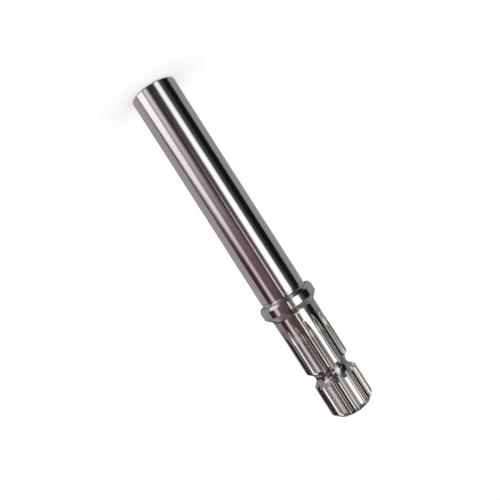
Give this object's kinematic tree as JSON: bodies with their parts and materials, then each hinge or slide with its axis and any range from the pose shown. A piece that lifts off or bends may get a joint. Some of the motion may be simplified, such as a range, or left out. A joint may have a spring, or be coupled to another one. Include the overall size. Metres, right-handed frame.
{
  "type": "splined shaft",
  "caption": "Round steel shaft with a plain ground journal, an integral collar, an involute spline that runs out towards the collar, and a ring groove across the spline.",
  "frame": {"origin": "centre of the plain end's face, on which the shaft stands", "axes": "+Z along the shaft's axis, from the plain end to the splined end; +X through the middle of a tooth space"},
  "size_m": [0.0314, 0.0312, 0.1975],
  "materials": {
    "ground_steel": "ground and polished"
  },
  "bodies": {
    "root": {"splined_shaft": "ground_steel"}
  },
  "joints": []
}
